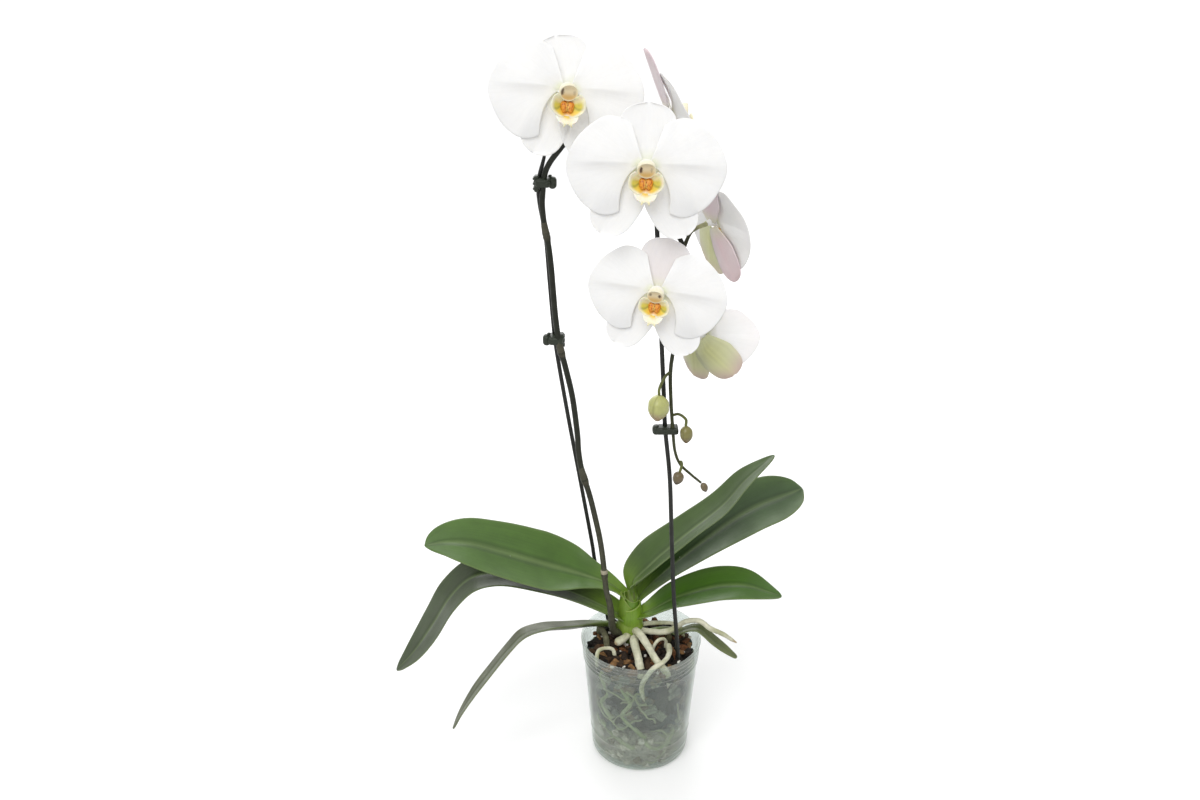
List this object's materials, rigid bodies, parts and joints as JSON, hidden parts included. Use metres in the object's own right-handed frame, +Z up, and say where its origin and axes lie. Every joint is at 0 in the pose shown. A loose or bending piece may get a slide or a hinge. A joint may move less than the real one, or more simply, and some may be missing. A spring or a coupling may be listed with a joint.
{
  "type": "potted orchid",
  "caption": "Potted moth orchid with white flowers on an arched spike, held by thin stakes and clips, in a clear tapered nursery pot of bark mix.",
  "frame": {"origin": "centre of the pot's base, on the surface that it stands on", "axes": "+Z up along the pot's axis; the flowers face -Y, the front; +X to the right seen from the front"},
  "size_m": [0.4127, 0.1949, 0.7097],
  "materials": {
    "clear_plastic": "clear, slightly frosted",
    "bark_mix": "rough damp bark chips",
    "crown_green": "smooth yellow-green leaf bases",
    "leaf_green": "waxy satin",
    "old_leaf_green": "dull satin",
    "root_silver": "matt, silvery",
    "root_green": "damp satin",
    "dry_stem": "dry and fibrous",
    "spike_olive": "smooth satin",
    "petal_white": "waxy, faintly sparkling",
    "lip_yellow": "waxy, speckled orange and red",
    "bud_green": "smooth satin",
    "stake_black": "smooth satin",
    "clip_green": "moulded satin"
  },
  "bodies": {
    "root": {"pot": "clear_plastic", "potting_mix": "bark_mix", "crown": "crown_green", "leaf_1": "leaf_green", "leaf_2": "leaf_green", "leaf_3": "old_leaf_green", "leaf_4": "leaf_green", "leaf_5": "leaf_green", "leaf_6": "leaf_green", "leaf_7": "old_leaf_green", "root_long": "root_silver", "root_beside": "root_silver", "root_thick": "root_silver", "root_diagonal": "root_silver", "root_loop": "root_silver", "root_curl": "root_silver", "root_left": "root_silver", "root_stub": "root_silver", "wall_root_1": "root_green", "wall_root_2": "root_green", "wall_root_3": "root_green", "wall_root_4": "root_green", "wall_root_5": "root_green", "old_stem": "dry_stem", "cut_spike": "dry_stem", "flower_spike": "spike_olive", "bloom_1": "petal_white", "bloom_2": "petal_white", "bloom_3": "petal_white", "bloom_4": "petal_white", "bloom_5": "petal_white", "bloom_6": "petal_white", "bloom_1_lip": "lip_yellow", "bloom_2_lip": "lip_yellow", "bloom_3_lip": "lip_yellow", "bloom_4_lip": "lip_yellow", "bloom_5_lip": "lip_yellow", "bloom_6_lip": "lip_yellow", "bud_1": "bud_green", "bud_2": "bud_green", "bud_3": "bud_green", "bud_4": "bud_green", "stake_left": "stake_black", "stake_right": "stake_black", "clip_1": "clip_green", "clip_2": "clip_green", "clip_3": "clip_green"}
  },
  "joints": []
}
